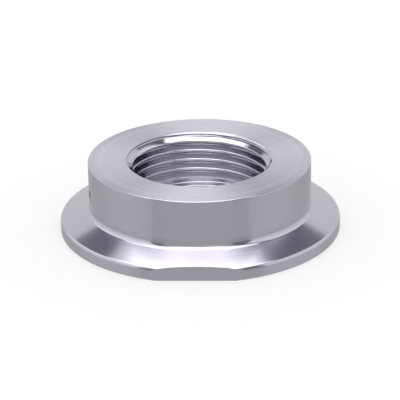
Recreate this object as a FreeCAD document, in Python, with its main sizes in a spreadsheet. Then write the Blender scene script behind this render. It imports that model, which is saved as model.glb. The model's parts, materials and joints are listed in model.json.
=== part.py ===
"""Sanitary clamp adapter: a turned stainless ferrule with a pipe-threaded port.

The adapter is one piece, turned from bar. A clamp pulls its flange onto a gasket
under the clamp face, and a sensor screws into the threaded port on top.

Frame: Z is the axis of the bore and points out of the threaded mouth. The origin
is the middle of the clamp face. The two flats of the flange face -Y and +Y.
Lengths are in millimetres and angles in degrees.
"""
import FreeCAD, Part
import math
import os
import Sketcher

# Driving dimensions, one spreadsheet cell each
SIZES = {
    # Clamp flange: vertical rim, then a cone up to the hub, and two milled flats
    "flange_diameter": 64.0,
    "rim_height": 2.85,
    "rim_edge_radius": 0.9,
    "cone_angle": 20.0,
    "flat_depth": 1.33,
    # Hub
    "overall_height": 16.25,
    "hub_diameter": 50.7,
    "hub_root_radius": 1.4,
    # Gasket groove in the clamp face, its middle measured in from the rim
    "groove_inset": 3.85,
    "groove_width": 4.0,
    "groove_floor_width": 1.6,
    "groove_depth": 1.5,
    # Right-hand parallel pipe thread, with its form's depth and flat root as shares of the pitch
    "thread_diameter": 33.249,
    "thread_pitch": 2.309,
    "thread_depth": 10.18,
    "flank_angle": 27.5,
    "form_depth_share": 0.640327,
    "root_flat_share": 0.166667,
    # Bore: lead-in cone at the mouth, plain run-out under the thread, seat, process bore
    "mouth_clearance": 0.03,
    "lead_in_depth": 1.8,
    "runout_clearance": 0.1,
    "runout_start": 10.1,
    "seat_depth": 12.0,
    "seat_corner": 0.4,
    "process_bore_diameter": 26.0,
    # Radial tell-tale hole in the hub wall, turned from the -Y flat towards -X
    "leak_hole_diameter": 3.0,
    "leak_hole_height": 9.1,
    "leak_hole_turn": 78.0,
    # Edges broken after turning
    "edge_break": 0.2,
}

# Radii and heights that several features share, as expressions of the sheet
FLANGE_RADIUS = "Sizes.flange_diameter / 2"
HUB_RADIUS = "Sizes.hub_diameter / 2"
CONE_TOP = f"Sizes.rim_height + ({FLANGE_RADIUS} - {HUB_RADIUS}) * tan(Sizes.cone_angle)"
TOP = "Sizes.overall_height"
SEAT = f"{TOP} - Sizes.seat_depth"
THREAD_RADIUS = "Sizes.thread_diameter / 2"
CREST_RADIUS = f"({THREAD_RADIUS} - Sizes.form_depth_share * Sizes.thread_pitch)"
MOUTH_RADIUS = f"{THREAD_RADIUS} + Sizes.mouth_clearance"
RUNOUT_RADIUS = f"{CREST_RADIUS} + Sizes.runout_clearance"
PROCESS_RADIUS = "Sizes.process_bore_diameter / 2"
SEAT_WIDTH = f"({RUNOUT_RADIUS} - {PROCESS_RADIUS})"

# Numbers that a sketch gives to its axes and to the points of a segment
X_AXIS, Y_AXIS = range(-1, -3, -1)
START, END, CENTRE = range(1, 4)
ORIGIN = (X_AXIS, START)

# How closely an edge has to lie where it is looked for
CLOSE = 1e-4


def make_sheet(doc):
    """Give every driving dimension a cell with its name as alias."""
    sheet = doc.addObject("Spreadsheet::Sheet", "Sizes")
    for row, (alias, size) in enumerate(SIZES.items(), start=1):
        sheet.set(f"A{row}", alias)
        sheet.set(f"B{row}", str(size))
        sheet.setAlias(f"B{row}", alias)
    doc.recompute()


def value(owner, expression):
    """What an expression of the sheet comes to, as seen by an object of the document."""
    return float(owner.evalExpression(expression))


def point(sketch, x, y):
    """A point of the sketch plane from two expressions."""
    return FreeCAD.Vector(value(sketch, x), value(sketch, y), 0)


def new_sketch(body, plane, name):
    """An empty sketch on the body's own origin plane, such as XZ_Plane."""
    sketch = body.newObject("Sketcher::SketchObject", name)
    support = next(f for f in body.Origin.OriginFeatures if f.Role == plane)
    sketch.AttachmentSupport = [(support, "")]
    sketch.MapMode = "FlatFace"
    return sketch


def bind(sketch, kind, *where, to):
    """Add a dimension and bind it to an expression of the sheet."""
    index = sketch.addConstraint(Sketcher.Constraint(kind, *where, value(sketch, to)))
    sketch.setExpression(f"Constraints[{index}]", to)


def pin(sketch, segment, end, x, y):
    """Dimension one point of a segment from the sketch's origin, or put it on an axis."""
    for kind, axis, distance in (("DistanceX", Y_AXIS, x), ("DistanceY", X_AXIS, y)):
        if distance == "0":
            sketch.addConstraint(Sketcher.Constraint("PointOnObject", segment, end, axis))
        else:
            bind(sketch, kind, *ORIGIN, segment, end, to=distance)


def outline(sketch, corners, arcs=None):
    """Draw a closed outline through corners given as pairs of expressions.

    Corners run counterclockwise. Segments are straight, except those that arcs
    lists by number, each with a point that it passes through, its radius and
    whether it is hollow. A sketch keeps every arc counterclockwise, so a hollow
    one ends at the corner where its segment starts.
    """
    arcs = arcs or {}
    following = corners[1:] + corners[:1]
    ends = []
    for i, (start, end) in enumerate(zip(corners, following)):
        if i in arcs:
            through, _, hollow = arcs[i]
            segment = Part.Arc(point(sketch, *start), point(sketch, *through), point(sketch, *end))
            ends.append((END, START) if hollow else (START, END))
        else:
            segment = Part.LineSegment(point(sketch, *start), point(sketch, *end))
            ends.append((START, END))
        sketch.addGeometry(segment, False)
    last = len(corners) - 1
    for i, (x, y) in enumerate(corners):
        before = i - 1 if i else last
        pin(sketch, before, ends[before][1], x, y)
        sketch.addConstraint(Sketcher.Constraint("Coincident", before, ends[before][1], i, ends[i][0]))
    for i, (_, radius, _) in arcs.items():
        bind(sketch, "Radius", i, to=radius)


def circle(sketch, x, y, diameter):
    """Draw a circle with its centre and diameter given as expressions."""
    radius = value(sketch, diameter) / 2
    sketch.addGeometry(Part.Circle(point(sketch, x, y), FreeCAD.Vector(0, 0, 1), radius), False)
    bind(sketch, "Diameter", 0, to=diameter)
    pin(sketch, 0, CENTRE, x, y)


def rounded_corner(x, z, radius, side):
    """Where an arc leaves the cone and the wall that meet at (x, z), and its middle point.

    The side is + for the arc at the cone's upper end, outside the wall, and - for
    the one at its lower end, inside the wall.
    """
    half_turn = "(90 - Sizes.cone_angle) / 2"
    reach = f"{radius} * tan({half_turn})"
    on_cone = (
        f"{x} {side} {reach} * cos(Sizes.cone_angle)",
        f"{z} - ({side}1) * {reach} * sin(Sizes.cone_angle)",
    )
    on_wall = (x, f"{z} {side} {reach}")
    middle = (
        f"{x} {side} {radius} * (1 - cos({half_turn}))",
        f"{z} {side} ({reach} - {radius} * sin({half_turn}))",
    )
    return on_cone, on_wall, middle


def turned_blank(body):
    """Flange, cone, hub and stepped bore, turned in one section about the Z axis."""
    sketch = new_sketch(body, "XZ_Plane", "HalfSection")
    crest_bore_top = f"{TOP} - Sizes.lead_in_depth"
    runout_top = f"{TOP} - Sizes.runout_start"
    rim_radius = "Sizes.rim_edge_radius"
    rim_cone, rim_wall, rim_middle = rounded_corner(FLANGE_RADIUS, "Sizes.rim_height", rim_radius, "-")
    root_radius = "Sizes.hub_root_radius"
    root_cone, root_wall, root_middle = rounded_corner(HUB_RADIUS, f"({CONE_TOP})", root_radius, "+")
    outline(sketch, [
        (PROCESS_RADIUS, "0"),
        (FLANGE_RADIUS, "0"),
        rim_wall,
        rim_cone,
        root_cone,
        root_wall,
        (HUB_RADIUS, TOP),
        (MOUTH_RADIUS, TOP),
        (CREST_RADIUS, crest_bore_top),
        (CREST_RADIUS, runout_top),
        (RUNOUT_RADIUS, runout_top),
        (RUNOUT_RADIUS, SEAT),
        (PROCESS_RADIUS, SEAT),
    ], arcs={2: (rim_middle, rim_radius, False), 4: (root_middle, root_radius, True)})
    blank = body.newObject("PartDesign::Revolution", "TurnedBlank")
    blank.Profile = sketch
    blank.ReferenceAxis = (sketch, ["V_Axis"])
    blank.Angle = 360


def rings(feature, places):
    """The names of a feature's circular edges at places of (radius, height)."""
    names = []
    for radius, height in places:
        for number, edge in enumerate(feature.Shape.Edges, start=1):
            if not isinstance(edge.Curve, Part.Circle):
                continue
            same_radius = math.isclose(edge.Curve.Radius, value(feature, radius), abs_tol=CLOSE)
            same_height = math.isclose(edge.Curve.Center.z, value(feature, height), abs_tol=CLOSE)
            if same_radius and same_height:
                names.append(f"Edge{number}")
    if len(names) != len(places):
        raise RuntimeError(f"{feature.Name} has {len(names)} of {len(places)} edges to bevel")
    return names


def bevel(body, name, places, size):
    """Chamfer the circular edges of the body's tip at the given places."""
    body.Document.recompute()
    base = body.Tip
    feature = body.newObject("PartDesign::Chamfer", name)
    feature.Base = (base, rings(base, places))
    feature.setExpression("Size", size)


def bevel_edges(body):
    """The corner that the tool leaves round the seat, then the small broken edges."""
    seat_corner = f"min(Sizes.seat_corner; {SEAT_WIDTH} / 2)"
    bevel(body, "SeatCorner", [(RUNOUT_RADIUS, SEAT)], seat_corner)
    corners = [
        (HUB_RADIUS, TOP),
        (MOUTH_RADIUS, TOP),
        (PROCESS_RADIUS, SEAT),
        (PROCESS_RADIUS, "0"),
        (FLANGE_RADIUS, "0"),
    ]
    bevel(body, "BrokenEdges", corners, "Sizes.edge_break")


def gasket_groove(body):
    """Groove with sloping sides in the clamp face, which keeps the gasket centred."""
    sketch = new_sketch(body, "XZ_Plane", "GrooveSection")
    middle = f"{FLANGE_RADIUS} - Sizes.groove_inset"
    outline(sketch, [
        (f"{middle} - Sizes.groove_width / 2", "0"),
        (f"{middle} + Sizes.groove_width / 2", "0"),
        (f"{middle} + Sizes.groove_floor_width / 2", "Sizes.groove_depth"),
        (f"{middle} - Sizes.groove_floor_width / 2", "Sizes.groove_depth"),
    ])
    groove = body.newObject("PartDesign::Groove", "GasketGroove")
    groove.Profile = sketch
    groove.ReferenceAxis = (sketch, ["V_Axis"])
    groove.Angle = 360


def flange_flats(body):
    """Flat milled on the rim at -Y, and its mirror image at +Y."""
    sketch = new_sketch(body, "XY_Plane", "FlatOutline")
    flat = f"-({FLANGE_RADIUS} - Sizes.flat_depth)"
    outline(sketch, [
        (f"-({FLANGE_RADIUS})", flat),
        (f"-({FLANGE_RADIUS})", "-Sizes.flange_diameter"),
        (FLANGE_RADIUS, "-Sizes.flange_diameter"),
        (FLANGE_RADIUS, flat),
    ])
    front = body.newObject("PartDesign::Pocket", "FrontFlat")
    front.Profile = sketch
    front.Type = "ThroughAll"
    front.Reversed = True
    body.Document.recompute()
    both = body.newObject("PartDesign::Mirrored", "BothFlats")
    both.Originals = [front]
    both.MirrorPlane = (next(f for f in body.Origin.OriginFeatures if f.Role == "XZ_Plane"), [""])
    body.Tip = both


def leak_hole(body):
    """Radial hole from the bore out through one side of the hub wall."""
    sketch = new_sketch(body, "XZ_Plane", "LeakHoleCircle")
    turn = "-Sizes.leak_hole_turn"
    turned = FreeCAD.Rotation(FreeCAD.Vector(0, 1, 0), value(sketch, turn))
    sketch.AttachmentOffset = FreeCAD.Placement(FreeCAD.Vector(), turned)
    sketch.setExpression("AttachmentOffset.Rotation.Angle", turn)
    circle(sketch, "0", "Sizes.leak_hole_height", "Sizes.leak_hole_diameter")
    hole = body.newObject("PartDesign::Pocket", "LeakHole")
    hole.Profile = sketch
    hole.Reversed = True
    hole.setExpression("Length", FLANGE_RADIUS)


def pipe_thread(body):
    """Thread groove of the 55 degree form, with a flat root, swept up the bore.

    The sweep starts above the seat and leaves through the lead-in cone. Inside
    the crest radius the form goes straight on into the open bore.
    """
    sketch = new_sketch(body, "XZ_Plane", "ThreadForm")
    middle = f"{TOP} - Sizes.thread_depth"
    root_half = "Sizes.root_flat_share * Sizes.thread_pitch / 2"
    mouth_half = f"({root_half} + ({THREAD_RADIUS} - {CREST_RADIUS}) * tan(Sizes.flank_angle))"
    inside = f"{CREST_RADIUS} - {root_half}"
    outline(sketch, [
        (inside, f"{middle} - {mouth_half}"),
        (CREST_RADIUS, f"{middle} - {mouth_half}"),
        (THREAD_RADIUS, f"{middle} - {root_half}"),
        (THREAD_RADIUS, f"{middle} + {root_half}"),
        (CREST_RADIUS, f"{middle} + {mouth_half}"),
        (inside, f"{middle} + {mouth_half}"),
    ])
    thread = body.newObject("PartDesign::SubtractiveHelix", "PipeThread")
    thread.Profile = sketch
    thread.ReferenceAxis = (sketch, ["V_Axis"])
    thread.Mode = "pitch-height-angle"
    thread.setExpression("Pitch", "Sizes.thread_pitch")
    thread.setExpression("Height", "Sizes.thread_depth + Sizes.thread_pitch")


def cut(body, feature):
    """Add a cutting feature and stop if it takes nothing off the body."""
    body.Document.recompute()
    before = body.Shape.Volume
    feature(body)
    body.Document.recompute()
    removed = before - body.Shape.Volume
    print(f"{body.Tip.Name} takes off {removed:.1f} mm3")
    if removed <= 0:
        raise RuntimeError(f"{body.Tip.Name} cuts nothing")


def adapter_body(doc):
    """The whole adapter, in the order in which it is machined."""
    body = doc.addObject("PartDesign::Body", "AdapterBody")
    body.Label = "adapter_body"
    turned_blank(body)
    bevel_edges(body)
    for feature in (gasket_groove, flange_flats, leak_hole, pipe_thread):
        cut(body, feature)
    return body


def check(doc, body):
    """Stop if a feature failed or the body isn't one valid solid."""
    for item in doc.Objects:
        if "Invalid" in item.State or "Error" in item.State:
            raise RuntimeError(f"{item.Name} failed: {item.State}")
    if body.Shape.isNull() or not body.Shape.isValid() or len(body.Shape.Solids) != 1:
        raise RuntimeError(f"{body.Label} isn't one valid solid")


doc = FreeCAD.newDocument("ClampAdapter")
make_sheet(doc)
adapter = adapter_body(doc)
check(doc, adapter)
os.makedirs("parts", exist_ok=True)
adapter.Shape.exportStep(f"parts/{adapter.Label}.step")
print(f"{adapter.Label}: {adapter.Shape.Volume:.1f} mm3, {len(adapter.Shape.Faces)} faces")
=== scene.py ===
# %% [markdown]
# # A turned stainless clamp adapter
#
# The real thing is a flat steel ring turned from bar: a coned flange that a clamp
# grips, a short hub, and a pipe thread that a sensor screws into. It is one piece,
# so the picture rests on three things only: true edges, a believable turned finish,
# and a studio worth mirroring, because bare steel shows little of its own.
#
# The lesson goes the way a machinist would: blank, flats, leak hole, thread. The steel's
# finishes come early, because each cutter leaves one of them behind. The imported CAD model
# is the fixed frame: the box, the process bore and the seat are read from it, and the
# thread follows its standard.

import json
import math

import bmesh
import bpy
from mathutils import Matrix, Vector


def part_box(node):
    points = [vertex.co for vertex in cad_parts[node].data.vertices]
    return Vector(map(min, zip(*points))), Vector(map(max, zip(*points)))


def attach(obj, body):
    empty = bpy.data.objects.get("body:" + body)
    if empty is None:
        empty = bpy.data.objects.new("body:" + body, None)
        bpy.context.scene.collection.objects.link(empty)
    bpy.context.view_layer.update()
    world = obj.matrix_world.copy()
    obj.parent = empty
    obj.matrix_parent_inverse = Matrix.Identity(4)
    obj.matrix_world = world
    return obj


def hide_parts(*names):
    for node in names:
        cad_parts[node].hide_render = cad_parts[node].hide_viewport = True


MM = 0.001
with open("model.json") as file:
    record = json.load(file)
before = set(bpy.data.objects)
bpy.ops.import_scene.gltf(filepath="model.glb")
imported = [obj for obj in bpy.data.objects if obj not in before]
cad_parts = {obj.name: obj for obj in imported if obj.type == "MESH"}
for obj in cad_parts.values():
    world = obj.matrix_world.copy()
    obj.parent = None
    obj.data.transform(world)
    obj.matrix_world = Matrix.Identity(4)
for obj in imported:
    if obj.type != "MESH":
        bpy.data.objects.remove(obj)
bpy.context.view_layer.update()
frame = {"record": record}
mounts = {m["name"]: m for m in frame["record"]["mounts"]}
low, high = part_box("adapter_body")
print("CAD box in mm:", [round(v / MM, 2) for v in low], [round(v / MM, 2) for v in high])

# %% [markdown]
# ## The section of the blank
#
# A lathe leaves a solid of revolution, so one half section says everything about the
# blank. It could be modelled with loop cuts on a cylinder, but a list of corners, each
# with its own radius, is closer to the drawing that the machinist has, and an edge that
# is too sharp or too round is one number to change.
#
# The radii matter more than they seem to: a mirror-like edge is read by the bright line
# that it catches, and the width of that line is the radius. A machinist breaks each edge
# with a touch of a file or a tool, and those broken edges come out smoother than the
# faces they lie between, so they get a finish of their own, "edge".
#
# Just before and just after each round lies one more point, the hold. Without it, the
# smooth shading of the round would creep along the whole face beside it.

# %% Sizes of the flange, the hub and the bore
FLANGE_RADIUS = high.x
TOP = high.z
FLAT_DISTANCE = high.y
RIM_HEIGHT = 2.85 * MM
RIM_EDGE = 0.9 * MM
CONE_ANGLE = math.radians(20)
HUB_RADIUS = 25.35 * MM
HUB_ROOT = 1.4 * MM
CONE_TOP = RIM_HEIGHT + (FLANGE_RADIUS - HUB_RADIUS) * math.tan(CONE_ANGLE)

THREAD_RADIUS = 33.249 / 2 * MM
PITCH = 2.309 * MM
THREAD_DEPTH = 0.640327 * PITCH
CREST_RADIUS = THREAD_RADIUS - THREAD_DEPTH
MOUTH_RADIUS = THREAD_RADIUS + 0.03 * MM
RUNOUT_RADIUS = CREST_RADIUS + 0.1 * MM
PROCESS_RADIUS = mounts["process_bore"]["dims"]["r_mm"] * MM
LEAD_IN = TOP - (MOUTH_RADIUS - CREST_RADIUS)
RUNOUT = TOP - 10.1 * MM
SEAT = mounts["seal_seat"]["pos_m"][2]
SEAT_CORNER = 0.15 * MM

GROOVE_MIDDLE = FLANGE_RADIUS - 3.85 * MM
GROOVE_HALF = 2.0 * MM
GROOVE_DEPTH = 1.5 * MM

EDGE = 0.2 * MM
MOUTH_EDGE = 0.3 * MM
HOLD = 0.05 * MM

print("cone meets the hub at", round(CONE_TOP / MM, 2), "mm")
print("thread crests at a radius of", round(CREST_RADIUS / MM, 3), "mm")

# %% The section's corners
# radius, height, corner radius, and the finish of the stretch that starts there
SECTION = [
    (PROCESS_RADIUS, 0, EDGE, "faced"),
    (GROOVE_MIDDLE - GROOVE_HALF, 0, 0, "groove"),
    (GROOVE_MIDDLE + GROOVE_HALF, 0, 0, "faced"),
    (FLANGE_RADIUS, 0, EDGE, "rim"),
    (FLANGE_RADIUS, RIM_HEIGHT, RIM_EDGE, "cone"),
    (HUB_RADIUS, CONE_TOP, HUB_ROOT, "hub"),
    (HUB_RADIUS, TOP, EDGE, "faced"),
    (MOUTH_RADIUS, TOP, MOUTH_EDGE, "lead_in"),
    (CREST_RADIUS, LEAD_IN, 0, "bore"),
    (CREST_RADIUS, RUNOUT, 0, "bore"),
    (RUNOUT_RADIUS, RUNOUT, 0, "bore"),
    (RUNOUT_RADIUS, SEAT, SEAT_CORNER, "seat"),
    (PROCESS_RADIUS, SEAT, EDGE, "bore"),
]
SMALL_ROUND_STEPS = 6
LARGE_ROUND_STEPS = 12
GROOVE_STEPS = 16


def rounded(before, corner, after, radius, steps):
    """Points of the arc that rounds a corner, or the corner itself."""
    if radius == 0:
        return [corner]
    into = (before - corner).normalized()
    out = (after - corner).normalized()
    half = into.angle(out) / 2
    reach = radius / math.tan(half)
    middle = corner + (into + out).normalized() * (radius / math.sin(half))
    start = corner + into * reach - middle
    end = corner + out * reach - middle
    sweep = start.angle(end)
    points = []
    for k in range(steps + 1):
        a = math.sin((1 - k / steps) * sweep) / math.sin(sweep)
        b = math.sin(k / steps * sweep) / math.sin(sweep)
        points.append(middle + start * a + end * b)
    return points


def groove_arc():
    """The round bottom of the gasket groove, between its two edges."""
    radius = (GROOVE_HALF**2 + GROOVE_DEPTH**2) / (2 * GROOVE_DEPTH)
    middle = Vector((GROOVE_MIDDLE, GROOVE_DEPTH - radius))
    limit = math.asin(GROOVE_HALF / radius)
    angles = [limit * (2 * k / GROOVE_STEPS - 1) for k in range(1, GROOVE_STEPS)]
    return [(middle + radius * Vector((math.sin(a), math.cos(a))), "groove") for a in angles]


def half_section():
    """Every point of the section in order, with the finish of the stretch after it."""
    corners = [Vector((r, z)) for r, z, _, _ in SECTION]
    points = []
    for i, (_, _, radius, finish) in enumerate(SECTION):
        before, corner, after = corners[i - 1], corners[i], corners[(i + 1) % len(corners)]
        small = radius <= MOUTH_EDGE
        steps = SMALL_ROUND_STEPS if small else LARGE_ROUND_STEPS
        arc = rounded(before, corner, after, radius, steps)
        round_finish = "edge" if small else finish
        if radius:
            points.append((arc[0] + HOLD * (before - corner).normalized(), SECTION[i - 1][3]))
        points += [(p, round_finish) for p in arc[:-1]]
        points.append((arc[-1], finish))
        if radius:
            points.append((arc[-1] + HOLD * (after - corner).normalized(), finish))
        if finish == "groove":
            points += groove_arc()
    return points


section = half_section()
print("section points:", len(section))

# %% [markdown]
# ## Spinning the blank
#
# The section goes round the axis in 288 steps, which is what the Spin tool or a Screw
# modifier would do. It is written out here so that each quad can carry the finish of its
# stretch of the section as a material slot: a hub wall, a cone and a faced top are three
# different cuts of the tool, and steel shows that at once.

# %% Spin the section into the blank
SEGMENTS = 288
FINISHES = ["hub", "rim", "faced", "cone", "groove", "edge", "lead_in"]
FINISHES += ["bore", "seat", "thread", "milled", "drilled"]


def mesh_object(name, build):
    """A mesh object from a function that fills a bmesh."""
    bm = bmesh.new()
    build(bm)
    bmesh.ops.recalc_face_normals(bm, faces=bm.faces)
    mesh = bpy.data.meshes.new(name)
    bm.to_mesh(mesh)
    bm.free()
    made = bpy.data.objects.new(name, mesh)
    bpy.context.scene.collection.objects.link(made)
    return made


def spin(bm):
    """Rings of points round the Z axis, joined by quads that keep their finish."""
    rings = []
    for s in range(SEGMENTS):
        turn = Matrix.Rotation(math.tau * s / SEGMENTS, 3, "Z")
        rings.append([bm.verts.new(turn @ Vector((p.x, 0, p.y))) for p, _ in section])
    for s in range(SEGMENTS):
        here = rings[s]
        there = rings[(s + 1) % SEGMENTS]
        for i, (_, finish) in enumerate(section):
            j = (i + 1) % len(section)
            face = bm.faces.new((here[i], here[j], there[j], there[i]))
            face.material_index = FINISHES.index(finish)


adapter = mesh_object("adapter", spin)
print("blank faces:", len(adapter.data.polygons))

# %% [markdown]
# ## Turned steel
#
# Stainless steel is one colour everywhere, a grey with a trace of violet. What differs
# from face to face is the tool's track: fine rings, closer than a pixel. Across the rings
# a reflection is smeared, along them it stays sharp. Two things together give that:
#
# - the shader's own anisotropy, with its tangent laid across the rings, and
# - a lean of the surface normal from ring to ring. A Bump node would miss rings that are
#   finer than a pixel, so the normal is leaned directly, by a one-dimensional noise that
#   runs across the rings.
#
# Broader rings of slightly rougher and duller metal, where the cutting edge was a little
# worn, keep the surface from looking like a computer's. They also swing the lean a little
# one way and the other.

# %% Helpers for nodes
def math_node(tree, operation, first, second):
    """A Math node of two inputs, each a socket or a number."""
    node = tree.nodes.new("ShaderNodeMath")
    node.operation = operation
    for socket, given in zip(node.inputs, (first, second)):
        if isinstance(given, (int, float)):
            socket.default_value = given
        else:
            tree.links.new(given, socket)
    return node.outputs[0]


def vector_node(tree, operation, *given):
    """A Vector Math node with its first inputs linked to sockets or set to vectors."""
    node = tree.nodes.new("ShaderNodeVectorMath")
    node.operation = operation
    for socket, source in zip(node.inputs, given):
        if isinstance(source, tuple):
            socket.default_value = source
        else:
            tree.links.new(source, socket)
    return node


# %% The rings and how they lean
NOISE_MEAN = 0.5
FINE_DETAIL = 2
BROAD_DETAIL = 3
BROAD_PERIODS = 12
SWING = 0.12


def place_across(tree, direction):
    """How far across the rings a point is: its radius on a face, its height on a wall."""
    where = tree.nodes.new("ShaderNodeTexCoord").outputs["Object"]
    if direction == "height":
        split = tree.nodes.new("ShaderNodeSeparateXYZ")
        tree.links.new(where, split.inputs[0])
        return split.outputs["Z"]
    flat = vector_node(tree, "MULTIPLY", where, (1, 1, 0)).outputs[0]
    return vector_node(tree, "LENGTH", flat).outputs["Value"]


def ring_noise(tree, across, period, detail):
    """Noise that changes only across the rings, about once in a period."""
    noise = tree.nodes.new("ShaderNodeTexNoise")
    noise.noise_dimensions = "1D"
    noise.inputs["Scale"].default_value = 1 / period
    noise.inputs["Detail"].default_value = detail
    tree.links.new(across, noise.inputs["W"])
    return noise.outputs[0]


def leaned_normal(tree, tangent, fine, broad, lean):
    """The surface normal, leaned across the rings by the fine noise and a little by the broad."""
    normal = tree.nodes.new("ShaderNodeNewGeometry").outputs["Normal"]
    across = vector_node(tree, "CROSS_PRODUCT", tangent, normal).outputs[0]
    push = vector_node(tree, "SCALE", across)
    amount = math_node(tree, "SUBTRACT", fine, NOISE_MEAN)
    slow = math_node(tree, "SUBTRACT", broad, NOISE_MEAN)
    both = math_node(tree, "ADD", amount, math_node(tree, "MULTIPLY", slow, SWING))
    tree.links.new(math_node(tree, "MULTIPLY", both, lean), push.inputs["Scale"])
    leaned = vector_node(tree, "ADD", normal, push.outputs[0]).outputs[0]
    return vector_node(tree, "NORMALIZE", leaned).outputs[0]


# %% A steel with rings
STEEL = (0.62, 0.60, 0.67, 1)
DULL_STEEL = (0.59, 0.57, 0.64, 1)
QUARTER_TURN = 0.25
WEAR = 0.2


def steel(name, direction, period, lean, roughness, anisotropy):
    """Steel with a tool's rings, which follow one another in radius or in height."""
    mat = bpy.data.materials.new(name)
    mat.use_nodes = True
    tree = mat.node_tree
    shader = tree.nodes["Principled BSDF"]
    shader.inputs["Metallic"].default_value = 1
    shader.inputs["Anisotropic"].default_value = anisotropy
    shader.inputs["Anisotropic Rotation"].default_value = QUARTER_TURN
    tangent = tree.nodes.new("ShaderNodeTangent")
    tangent.direction_type = "RADIAL"
    tangent.axis = "Z"
    tree.links.new(tangent.outputs[0], shader.inputs["Tangent"])

    across = place_across(tree, direction)
    fine = ring_noise(tree, across, period, FINE_DETAIL)
    broad = ring_noise(tree, across, BROAD_PERIODS * period, BROAD_DETAIL)
    normal = leaned_normal(tree, tangent.outputs[0], fine, broad, lean)
    tree.links.new(normal, shader.inputs["Normal"])

    rough = tree.nodes.new("ShaderNodeMapRange")
    rough.inputs["To Min"].default_value = (1 - WEAR) * roughness
    rough.inputs["To Max"].default_value = (1 + WEAR) * roughness
    tree.links.new(broad, rough.inputs["Value"])
    tree.links.new(rough.outputs[0], shader.inputs["Roughness"])

    tone = tree.nodes.new("ShaderNodeMix")
    tone.data_type = "RGBA"
    tone.inputs["A"].default_value = STEEL
    tone.inputs["B"].default_value = DULL_STEEL
    tree.links.new(broad, tone.inputs["Factor"])
    tree.links.new(tone.outputs["Result"], shader.inputs["Base Color"])
    return mat


# %% One steel for each cut of the tool
# direction across the rings, their period, lean of the normal, roughness, anisotropy
CUTS = {
    "hub": ("height", 0.12 * MM, 0.30, 0.16, 0.9),
    "rim": ("height", 0.12 * MM, 0.20, 0.16, 0.9),
    "faced": ("radius", 0.15 * MM, 0.42, 0.25, 0.95),
    "cone": ("radius", 0.12 * MM, 0.20, 0.20, 0.85),
    "groove": ("radius", 0.12 * MM, 0.10, 0.20, 0.8),
    "edge": ("radius", 0.10 * MM, 0.02, 0.08, 0.3),
    "lead_in": ("radius", 0.10 * MM, 0.06, 0.12, 0.6),
    "bore": ("height", 0.12 * MM, 0.20, 0.18, 0.9),
    "seat": ("radius", 0.12 * MM, 0.10, 0.16, 0.9),
    "thread": ("radius", 0.10 * MM, 0.08, 0.14, 0.8),
    "milled": ("height", 0.15 * MM, 0.10, 0.20, 0.7),
    "drilled": ("height", 0.15 * MM, 0.10, 0.30, 0.5),
}
for finish in FINISHES:
    adapter.data.materials.append(steel(f"steel_{finish}", *CUTS[finish]))
print("finishes:", len(adapter.data.materials))

# %% [markdown]
# ## Flats and leak hole
#
# Milling and drilling are booleans in the real world too, so they are booleans here: a
# box for each flat, a cylinder for the hole. The Exact solver with materials carried over
# from the cutter gives the new faces their own finish, and the result is baked into the
# mesh straight away, so that the next cutter meets plain geometry.

# %% Cutting tools
def box_cutter(bm, lowest, highest):
    """A closed box between two corners."""
    bmesh.ops.create_cube(bm, size=1)
    for v in bm.verts:
        v.co = Vector([lowest[i] if v.co[i] < 0 else highest[i] for i in range(3)])


def cut(piece, cutter, finish):
    """Take the cutter's shape off the piece, leaving its finish on the new faces."""
    cutter.data.materials.append(piece.data.materials[FINISHES.index(finish)])
    modifier = piece.modifiers.new(cutter.name, "BOOLEAN")
    modifier.operation = "DIFFERENCE"
    modifier.solver = "EXACT"
    modifier.material_mode = "TRANSFER"
    modifier.object = cutter
    depsgraph = bpy.context.evaluated_depsgraph_get()
    made = bpy.data.meshes.new_from_object(piece.evaluated_get(depsgraph))
    piece.modifiers.clear()
    old = piece.data
    piece.data = made
    bpy.data.meshes.remove(old)
    bpy.data.objects.remove(cutter)
    print(finish, "cut:", len(piece.data.polygons), "faces")


# %% Mill the flats
for side in (-1, 1):
    far = side * 2 * FLANGE_RADIUS
    near = side * FLAT_DISTANCE
    lowest = (-2 * FLANGE_RADIUS, min(near, far), -TOP)
    highest = (2 * FLANGE_RADIUS, max(near, far), 2 * TOP)
    flat_cutter = mesh_object("flat_cutter", lambda bm: box_cutter(bm, lowest, highest))
    cut(adapter, flat_cutter, "milled")

# %% Drill the leak hole
LEAK_RADIUS = 1.5 * MM
LEAK_HEIGHT = 9.1 * MM
LEAK_TURN = math.radians(78)
LEAK_SEGMENTS = 48


def leak_drill(bm):
    """A drill that reaches from the bore out through the hub's wall."""
    length = FLANGE_RADIUS
    placed = (
        Matrix.Rotation(-LEAK_TURN, 4, "Z")
        @ Matrix.Translation((0, -length / 2, LEAK_HEIGHT))
        @ Matrix.Rotation(math.pi / 2, 4, "X")
    )
    size = {"radius1": LEAK_RADIUS, "radius2": LEAK_RADIUS, "depth": length}
    bmesh.ops.create_cone(bm, cap_ends=True, segments=LEAK_SEGMENTS, matrix=placed, **size)


cut(adapter, mesh_object("leak_drill", leak_drill), "drilled")

# %% [markdown]
# ## The pipe thread
#
# A parallel pipe thread has flanks 55 degrees apart, and both its roots and its crests
# are rounded to the same radius. Rings stacked up would look like a thread from far away,
# but the start at the mouth gives them away: a real groove climbs out through the lead-in
# cone. So the groove's section is carried along a true helix and cut out of the bore.
#
# The round crest is part of the same section: the tool's outline flares out before it
# reaches the bore, so that it takes the corners off the crest as it passes. Where the
# flare meets the bore it still leans a little, because two surfaces that only just touch
# are hard for a boolean.

# %% The thread's form
THREAD_START = TOP - 10.43 * MM
FLANK = math.radians(27.5)
ROUND = 0.137329 * PITCH
FLARE_LEAN = math.radians(15)
OPEN_SIDE = 0.3 * MM
SKIN = 0.01 * MM
ROOT_STEPS = 8
CREST_STEPS = 5


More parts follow.
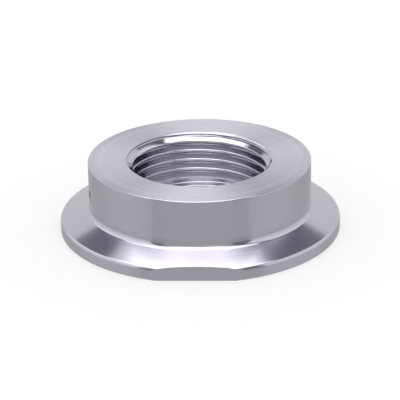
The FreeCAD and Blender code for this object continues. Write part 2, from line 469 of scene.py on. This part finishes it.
def arc_of_form(middle, start, end, steps):
    """Points (radius, height) on the rounding circle about a middle, between two angles."""
    angles = [start + (end - start) * k / steps for k in range(steps + 1)]
    return [(middle[0] + ROUND * math.cos(a), middle[1] + ROUND * math.sin(a)) for a in angles]


def thread_form():
    """Outline of the groove about its middle height, from the lower crest to the upper one."""
    flat_root_edge = THREAD_RADIUS - ROUND * (1 - math.sin(FLANK))
    flank_at_crest = ROUND * math.cos(FLANK) + (flat_root_edge - CREST_RADIUS) * math.tan(FLANK)
    crest_r = CREST_RADIUS + ROUND * math.cos(FLARE_LEAN)
    crest_h = flank_at_crest - (crest_r - CREST_RADIUS) * math.tan(FLANK) + ROUND / math.cos(FLANK)
    inside = CREST_RADIUS - OPEN_SIDE
    run = SKIN / math.tan(FLARE_LEAN)

    steep = math.pi / 2 - FLANK
    root = arc_of_form((THREAD_RADIUS - ROUND, 0), -steep, steep, ROOT_STEPS)
    upper = arc_of_form((crest_r, crest_h), math.pi + steep, math.pi + FLARE_LEAN, CREST_STEPS)
    last_r, last_h = upper[-1]
    upper += [(last_r - SKIN, last_h + run), (inside, last_h + run)]
    lower = [(r, -h) for r, h in reversed(upper)]
    return lower + root + upper


form = thread_form()
print("form points:", len(form))
print("widest", round(2 * form[-1][1] / MM, 3), "of pitch", round(PITCH / MM, 3))


# %% Cut the thread
def thread_tool(bm):
    """The form carried up a right-hand helix from above the run-out to past the mouth."""
    turns = (TOP - THREAD_START + PITCH) / PITCH
    steps = round(turns * SEGMENTS)
    rings = []
    for k in range(steps + 1):
        turn = Matrix.Rotation(math.tau * turns * k / steps, 3, "Z")
        rise = THREAD_START + PITCH * turns * k / steps
        rings.append([bm.verts.new(turn @ Vector((r, 0, rise + h))) for r, h in form])
    for here, there in zip(rings, rings[1:]):
        for i in range(len(form)):
            j = (i + 1) % len(form)
            bm.faces.new((here[i], here[j], there[j], there[i]))
    bm.faces.new(rings[0])
    bm.faces.new(list(reversed(rings[-1])))


cut(adapter, mesh_object("thread_tool", thread_tool), "thread")

# %% [markdown]
# ## Shading
#
# Every round is modelled with its own faces, so smooth shading only has to bridge small
# steps: edges over 20 degrees stay sharp, and weighted normals keep the large faces flat
# right up to their edges. On a mirror any stray normal shows as a smear: a tilt of five
# degrees at the end of a wall is enough to mirror the ceiling in place of the floor. Where
# a cutter has been, the faces are long triangles and weights alone can't hold them, and
# that is what the holds in the section are for.

# %% Shade the adapter and hang it in the frame
SHARP_ANGLE = math.radians(20)

for polygon in adapter.data.polygons:
    polygon.use_smooth = True
adapter.data.set_sharp_from_angle(angle=SHARP_ANGLE)
weighted = adapter.modifiers.new("weighted", "WEIGHTED_NORMAL")
weighted.keep_sharp = True
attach(adapter, "root")
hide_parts("adapter_body")
print("sharp edges:", sum(edge.use_edge_sharp for edge in adapter.data.edges))

# %% [markdown]
# ## Floor and daylight
#
# A white floor under an even white world is the plainest light there is: colours come out
# as they are written and the adapter keeps a soft shadow where it stands. A studio washes
# most of that shadow out with light from all sides. Here the floor's paint is half plain
# white to the camera, which does the same without putting more light on the steel.
#
# The floor is left out of reflections, because there the studio's own table takes over.
# Inside the bore that would be wrong, as the wall stands so close to the floor: a small
# disc of matt white lies there, and the foot of the bore mirrors it. Seen from below, both
# sheets are clear, so that the clamp face and its groove can be looked at too.

# %% Matt white paint
PAPER = (0.97, 0.97, 0.97, 1)


def mixed(tree, factor, first, second):
    """A Mix Shader of two shaders, by a number or a socket."""
    mix = tree.nodes.new("ShaderNodeMixShader")
    if isinstance(factor, (int, float)):
        mix.inputs["Fac"].default_value = factor
    else:
        tree.links.new(factor, mix.inputs["Fac"])
    tree.links.new(first.outputs[0], mix.inputs[1])
    tree.links.new(second.outputs[0], mix.inputs[2])
    return mix


def paint(name, white_share):
    """Matt white paint, part of it plain white to the camera, and clear from behind."""
    mat = bpy.data.materials.new(name)
    mat.use_nodes = True
    tree = mat.node_tree
    matt = tree.nodes["Principled BSDF"]
    matt.inputs["Base Color"].default_value = PAPER
    matt.inputs["Roughness"].default_value = 1
    matt.inputs["Specular IOR Level"].default_value = 0
    white = tree.nodes.new("ShaderNodeEmission")
    seen = tree.nodes.new("ShaderNodeLightPath").outputs["Is Camera Ray"]
    tree.links.new(seen, white.inputs["Strength"])
    front = mixed(tree, white_share, matt, white)
    behind = tree.nodes.new("ShaderNodeNewGeometry").outputs["Backfacing"]
    both = mixed(tree, behind, front, tree.nodes.new("ShaderNodeBsdfTransparent"))
    tree.links.new(both.outputs[0], tree.nodes["Material Output"].inputs["Surface"])
    return mat


# %% Lay the floor, inside the bore too
FLOOR_HALF = 3
FLOOR_WHITE = 0.5
SHEET_GAP = 0.02 * MM
BORE_GAP = 0.1 * MM


def lay_flat(name, build, material):
    """A flat sheet of the stage that faces up."""
    sheet = mesh_object(name, build)
    if sheet.data.polygons[0].normal.z < 0:
        sheet.data.flip_normals()
    sheet.data.materials.append(material)
    return sheet


def floor_plane(bm):
    """A wide flat square just under the adapter, so that the two faces don't fight."""
    lowered = Matrix.Translation((0, 0, -SHEET_GAP))
    bmesh.ops.create_grid(bm, x_segments=1, y_segments=1, size=FLOOR_HALF, matrix=lowered)


def bore_disc(bm):
    """The bit of floor that shows inside the bore."""
    size = {"segments": 64, "radius": PROCESS_RADIUS - BORE_GAP}
    lifted = Matrix.Translation((0, 0, SHEET_GAP))
    bmesh.ops.create_circle(bm, cap_ends=True, matrix=lifted, **size)


floor = lay_flat("floor", floor_plane, paint("floor_paint", FLOOR_WHITE))
floor.visible_glossy = False
bore_floor = lay_flat("bore_floor", bore_disc, paint("bore_paint", 0))
sheets = (floor, bore_floor)
print("sheets that face up:", sum(sheet.data.polygons[0].normal.z > 0 for sheet in sheets))

# %% Even daylight
WHITE = (1, 1, 1, 1)
DAYLIGHT = 1.05

world = bpy.data.worlds.new("daylight")
world.use_nodes = True
sky = world.node_tree.nodes["Background"]
sky.inputs["Color"].default_value = WHITE
sky.inputs["Strength"].default_value = DAYLIGHT
bpy.context.scene.world = world
bpy.context.scene.view_settings.view_transform = "Standard"
print("daylight:", DAYLIGHT)

# %% [markdown]
# ## Camera
#
# A long lens from half a metre, 23 degrees above the floor. The small turn is that of a
# hand that set the adapter down nearly, but not quite, square to the camera.

# %% Place the camera
ELEVATION = math.radians(23.01)
TURN = math.radians(2.1)
ROLL = math.radians(0.91)
DISTANCE = 464.09 * MM
SENSOR = 36
LENS = 181.4
ASIDE = -0.0997 * MM
UP = 5.4754 * MM

across = Vector((1, 0, 0))
upward = Vector((0, math.sin(ELEVATION), math.cos(ELEVATION)))
forward = Vector((0, math.cos(ELEVATION), -math.sin(ELEVATION)))
right = across * math.cos(ROLL) - upward * math.sin(ROLL)
top = across * math.sin(ROLL) + upward * math.cos(ROLL)
place = right * ASIDE + top * UP - forward * DISTANCE
basis = Matrix((right, top, -forward)).transposed().to_4x4()
camera = bpy.data.objects.new("camera", bpy.data.cameras.new("camera"))
camera.data.sensor_width = SENSOR
camera.data.lens = LENS
camera.matrix_world = Matrix.Rotation(TURN, 4, "Z") @ Matrix.Translation(place) @ basis
bpy.context.scene.collection.objects.link(camera)
bpy.context.scene.camera = camera
print("camera at", [round(v / MM, 1) for v in camera.matrix_world.translation])

# %% [markdown]
# ## A studio to mirror
#
# Product photographers light metal with what it reflects: a big soft box overhead, pale
# walls at the sides and back, and dark gaps that draw the edges. The box and the walls are
# planes about a metre from the adapter, the table lies closer, and a dark room shows in
# the gaps. All of it is seen by reflections only. It lights nothing, so the floor and its
# shadow stay plain, and the steel keeps its own colour. Only the soft box is much brighter
# than white paper, because the flange shows it at second hand, by way of the hub's wall,
# and each bounce off steel costs a third of it.
#
# Real soft boxes fall off towards their edges, and a hard edge would show up as a line on
# the cone. So the strength can fade along an axis, and part of the back edge has a skirt.
# Straight overhead the cloth is dimmer, or the top face would burn out seen from above.
#
# Directions are easier to judge than places, so each plane's size was set by the height
# above the horizon at which its edge shows up in the steel. The studio was laid out round
# the camera, so it takes the camera's turn.

# %% A glow that can fade
def glow(name, colour, strength, fade=None):
    """An even glow, or one that fades along an axis, both ways from a middle.

    The fade is given as the axis, the middle on it, how far from there it starts and
    ends, and the strength beyond its end.
    """
    mat = bpy.data.materials.new(name)
    mat.use_nodes = True
    tree = mat.node_tree
    tree.nodes.clear()
    output = tree.nodes.new("ShaderNodeOutputMaterial")
    light = tree.nodes.new("ShaderNodeEmission")
    light.inputs["Color"].default_value = colour
    light.inputs["Strength"].default_value = strength
    tree.links.new(light.outputs[0], output.inputs["Surface"])
    if fade:
        axis, middle, start, end, far_strength = fade
        split = tree.nodes.new("ShaderNodeSeparateXYZ")
        tree.links.new(tree.nodes.new("ShaderNodeTexCoord").outputs["Object"], split.inputs[0])
        place = math_node(tree, "SUBTRACT", split.outputs[axis], middle)
        distance = math_node(tree, "ABSOLUTE", place, 0)
        ramp = tree.nodes.new("ShaderNodeMapRange")
        ramp.interpolation_type = "SMOOTHSTEP"
        ramp.inputs["From Min"].default_value = start
        ramp.inputs["From Max"].default_value = end
        ramp.inputs["To Min"].default_value = strength
        ramp.inputs["To Max"].default_value = far_strength
        tree.links.new(distance, ramp.inputs["Value"])
        tree.links.new(ramp.outputs[0], light.inputs["Strength"])
    return mat


# %% Cards and walls that only the steel sees
STUDIO_TURN = Matrix.Rotation(TURN, 4, "Z")
TABLE = -0.25
SOFT_BOX_HEIGHT = 1.0
DUSK = (1.0, 0.90, 1.12, 1)


def only_mirrored(made, material):
    """Hang a piece of the studio so that nothing but a reflection shows it."""
    made.data.materials.append(material)
    made.matrix_world = STUDIO_TURN
    made.visible_camera = False
    made.visible_diffuse = False
    made.visible_shadow = False


def card(name, corners, strength, fade=None, colour=WHITE):
    """A flat card through corners given in metres."""
    made = mesh_object(name, lambda bm: bm.faces.new([bm.verts.new(c) for c in corners]))
    only_mirrored(made, glow(name, colour, strength, fade))


def wall(name, top_line, strength, upper_strength=None, colour=WHITE):
    """A card that stands on the table, from the corners of its top edge."""
    first, last = top_line[0], top_line[-1]
    corners = [(first[0], first[1], TABLE), *top_line, (last[0], last[1], TABLE)]
    fade = None
    if upper_strength:
        fade = ("Z", TABLE, 0, SOFT_BOX_HEIGHT - TABLE, upper_strength)
    card(name, corners, strength, fade, colour)


def lying(outline, height):
    """Corners of a card that lies flat, from the x and y of its outline."""
    return [(x, y, height) for x, y in outline]


# %% The dark room, the table and the walls
FRONT_HALF = math.radians(50.2)
FRONT_X = math.tan(FRONT_HALF)
FRONT_Y = -1 / math.tan(FRONT_HALF)
ROOM_SIZE = 8
TABLE_TOP = [(-2, -2), (2, -2), (2, 2), (-2, 2)]
SHADE_X = 2 * math.sin(FRONT_HALF)
SHADE_Y = -2 * math.cos(FRONT_HALF)
FRONT_SHADE = [(0, 0), (-SHADE_X, SHADE_Y), (SHADE_X, SHADE_Y)]
SHADE_GAP = 0.002

room = mesh_object("room", lambda bm: bmesh.ops.create_cube(bm, size=ROOM_SIZE))
only_mirrored(room, glow("room", DUSK, 0.16))
card("table", lying(TABLE_TOP, TABLE), 0.60, ("Y", -0.1, 0, 0.8, 0.47))
card("shaded_table", lying(FRONT_SHADE, TABLE + SHADE_GAP), 0.52)

wall("back_wall", [(-1, 1, 0.95), (-0.5, 1, 0.72), (0.5, 1, 0.72), (1, 1, 0.95)], 0.73, 0.80)
wall("left_wall", [(-1, FRONT_Y, 1.5), (-1, 0.2, 1.5), (-1, 0.8, 1.15), (-1, 1, 1.0)], 0.70, 1.15)
wall("right_wall", [(1, FRONT_Y, 1.05), (1, 0, 1.4), (1, 0.6, 1.4), (1, 1, 1.1)], 0.72, 1.0)
wall("front_wall", [(-0.75, -1, 0.6), (0, -1, 0.55), (0.62, -1, 0.6)], 0.50)
wall("front_dark_left", [(-FRONT_X, -1, 0.6), (-0.75, -1, 0.6)], 0.26, colour=DUSK)
wall("front_dark_right", [(0.62, -1, 0.6), (FRONT_X, -1, 1.2)], 0.20, colour=DUSK)

# %% The soft box and the bright strip behind
SOFT_BOX = [(-0.75, -1.78), (0.62, -1.78), (0.60, 0.10), (0.24, 0.55), (-0.25, 0.62), (-0.75, 0.36)]
SKIRT = [(-0.75, 0.36), (-0.25, 0.62), (-0.30, 0.73), (-0.41, 0.75)]
MIDDLE_RADIUS = 0.20
MIDDLE_FORWARD = 0.02
MIDDLE_GAP = 0.01
AROUND = [math.radians(a) for a in range(0, 360, 30)]
ROUND_CARD = [(MIDDLE_RADIUS * math.cos(a), MIDDLE_RADIUS * math.sin(a)) for a in AROUND]
MIDDLE = [(x, y - MIDDLE_FORWARD) for x, y in ROUND_CARD]
STRIP_PLACE = 0.98
STRIP = [(0.06, 0.40), (-0.105, 0.40), (-0.105, 1.15), (0.06, 1.15)]

card("soft_box", lying(SOFT_BOX, SOFT_BOX_HEIGHT), 2.6, ("X", -0.06, 0.30, 0.74, 1.0))
card("soft_box_skirt", lying(SKIRT, SOFT_BOX_HEIGHT), 0.9)
card("soft_box_middle", lying(MIDDLE, SOFT_BOX_HEIGHT - MIDDLE_GAP), 1.1)
card("bright_strip", [(x, STRIP_PLACE, z) for x, z in STRIP], 1.1)
